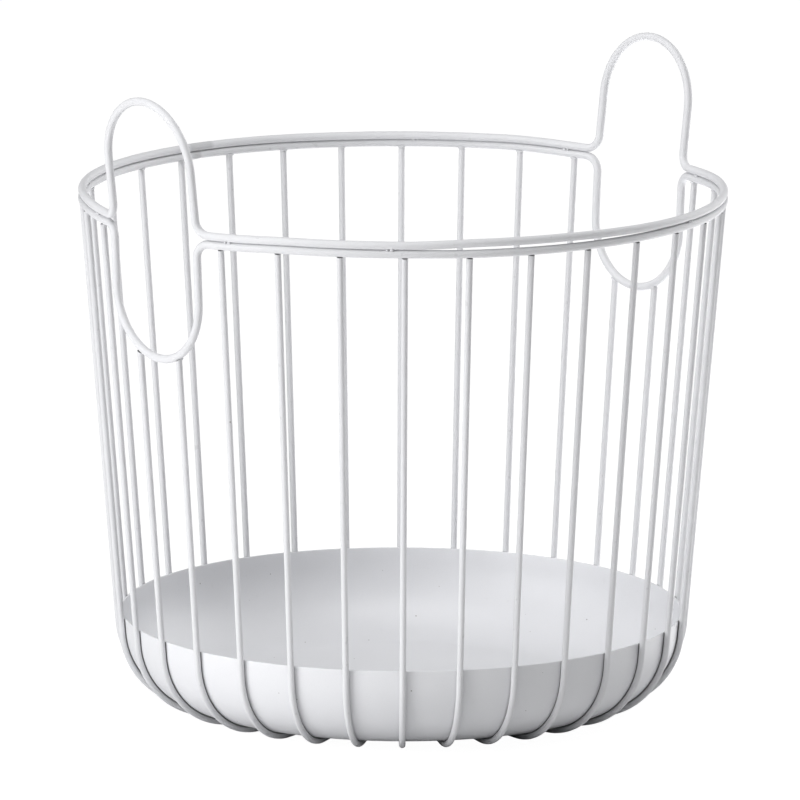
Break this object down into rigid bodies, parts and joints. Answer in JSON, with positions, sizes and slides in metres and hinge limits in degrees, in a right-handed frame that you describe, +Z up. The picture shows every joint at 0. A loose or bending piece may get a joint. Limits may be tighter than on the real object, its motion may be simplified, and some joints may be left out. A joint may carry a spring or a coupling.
{
  "type": "wire basket",
  "caption": "Round open wire basket: upright spokes between a doubled rim and a shallow sheet-metal tray, with two open loop handles bent from the rim wires.",
  "frame": {"origin": "centre of the basket on the surface that it stands on, at the middle of the bounding box", "axes": "+Z up, +X towards one handle, +Y towards the middle of one side of the rim"},
  "size_m": [0.4106, 0.4, 0.3994],
  "materials": {
    "wire_coat": "fine matt powder coat on steel wire",
    "sheet_coat": "fine matt powder coat on sheet steel"
  },
  "bodies": {
    "root": {"upper_rim_wire": "wire_coat", "lower_rim_wire": "wire_coat", "tray": "sheet_coat", "spoke_01": "wire_coat", "spoke_02": "wire_coat", "spoke_03": "wire_coat", "spoke_04": "wire_coat", "spoke_05": "wire_coat", "spoke_06": "wire_coat", "spoke_07": "wire_coat", "spoke_08": "wire_coat", "spoke_09": "wire_coat", "spoke_10": "wire_coat", "spoke_11": "wire_coat", "spoke_12": "wire_coat", "spoke_13": "wire_coat", "spoke_14": "wire_coat", "spoke_15": "wire_coat", "spoke_16": "wire_coat", "spoke_17": "wire_coat", "spoke_18": "wire_coat", "spoke_19": "wire_coat", "spoke_20": "wire_coat", "spoke_21": "wire_coat", "spoke_22": "wire_coat", "spoke_23": "wire_coat", "spoke_24": "wire_coat", "spoke_25": "wire_coat", "spoke_26": "wire_coat", "spoke_27": "wire_coat", "spoke_28": "wire_coat", "spoke_29": "wire_coat", "spoke_30": "wire_coat", "spoke_31": "wire_coat", "spoke_32": "wire_coat"}
  },
  "joints": []
}
